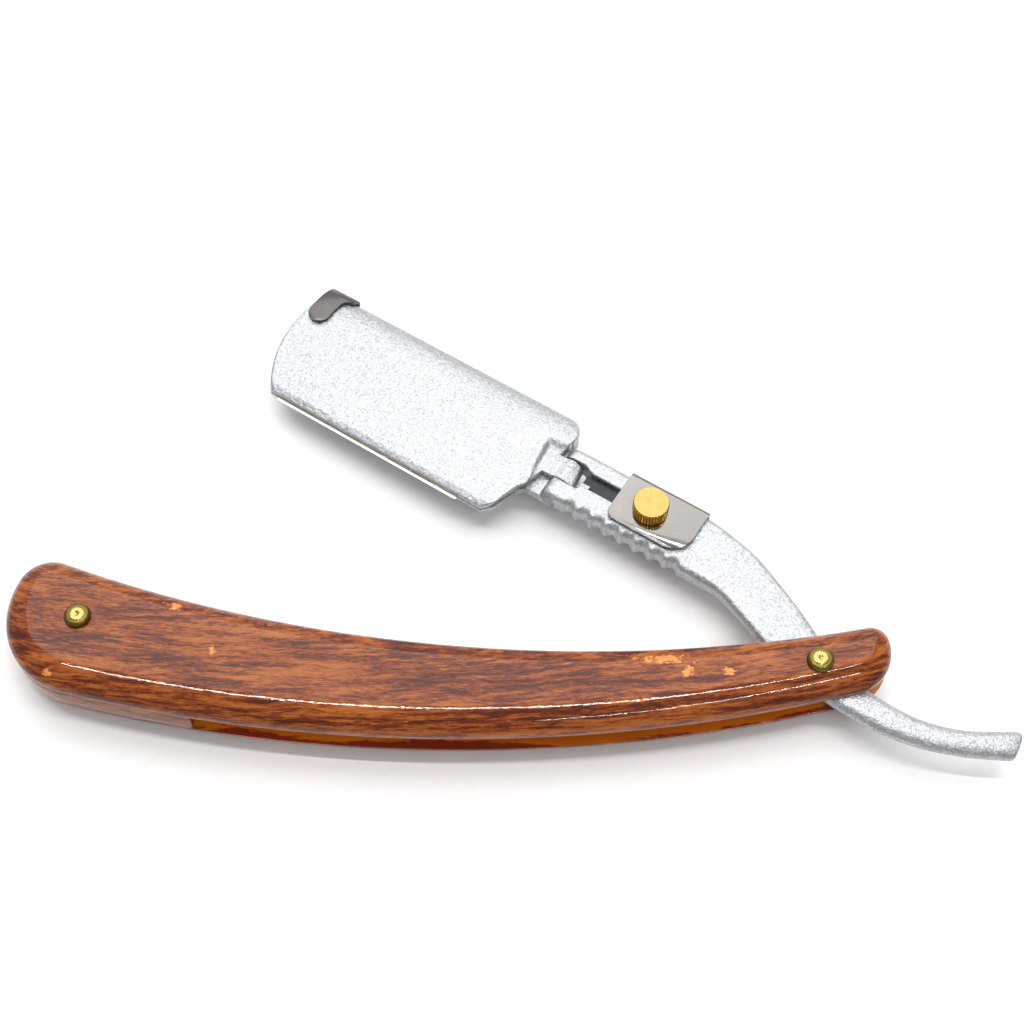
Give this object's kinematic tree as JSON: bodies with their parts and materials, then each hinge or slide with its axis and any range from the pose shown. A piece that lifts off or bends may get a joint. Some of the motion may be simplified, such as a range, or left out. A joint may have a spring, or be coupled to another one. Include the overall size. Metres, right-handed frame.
{
  "type": "straight razor",
  "caption": "Folding barber's razor with curved wood-look scales, a hinged blade head, a sliding thumb-screw lock and a long tail.",
  "frame": {"origin": "on the fold axis, level with the outer ends of the two handle pins on the back side", "axes": "+X from the butt pin towards the pivot, +Y towards the side the spine of the opened head points to, +Z out of the front scale"},
  "size_m": [0.1572, 0.0864, 0.0122],
  "materials": {
    "wood": "glossy lacquered reddish-brown wood with dark streaks",
    "spacer_wood": "satin pale tan wood",
    "pin_brass": "polished",
    "collar_brass": "aged satin",
    "silver_paint": "silver metallic paint with a fine grain",
    "blade_steel": "ground",
    "dark_steel": "dull",
    "clip_steel": "satin",
    "slider_steel": "satin",
    "gold": "polished gold plate with a knurled side"
  },
  "bodies": {
    "handle": {"front_scale": "wood", "back_scale": "wood", "butt_spacer": "spacer_wood", "butt_pin": "pin_brass", "butt_front_collar": "collar_brass", "butt_back_collar": "collar_brass", "pivot_pin": "pin_brass", "pivot_front_collar": "collar_brass", "pivot_back_collar": "collar_brass", "front_washer": "pin_brass", "back_washer": "pin_brass"},
    "arm": {"tang": "silver_paint", "blade": "blade_steel", "cover_hinge_pin": "dark_steel", "toe_clip": "clip_steel", "toe_clip_rivet": "clip_steel"},
    "cover": {"blade_cover": "silver_paint"},
    "slider": {"lock_slider": "slider_steel", "lock_tongue": "dark_steel", "lock_nut": "slider_steel"},
    "knob": {"lock_knob": "gold"}
  },
  "joints": [
    {"name": "arm_fold", "type": "hinge", "parent": "handle", "child": "arm", "pos_m": [0, 0, 0.006], "axis": [0, 0, 1], "range_deg": [-240, 28]},
    {"name": "cover_hinge", "type": "hinge", "parent": "arm", "child": "cover", "pos_m": [-0.04015, 0.03321, 0.006], "axis": [0.4879, 0.8729, 0], "range_deg": [0, 50], "deforming": ["toe_clip"]},
    {"name": "lock_slide", "type": "slide", "parent": "arm", "child": "slider", "axis": [0.8729, -0.4879, 0], "range_m": [0, 0.004]},
    {"name": "knob_turn", "type": "hinge", "parent": "slider", "child": "knob", "pos_m": [-0.02599, 0.02605, 0.006], "axis": [0, 0, 1], "range_deg": [0, 360]}
  ]
}
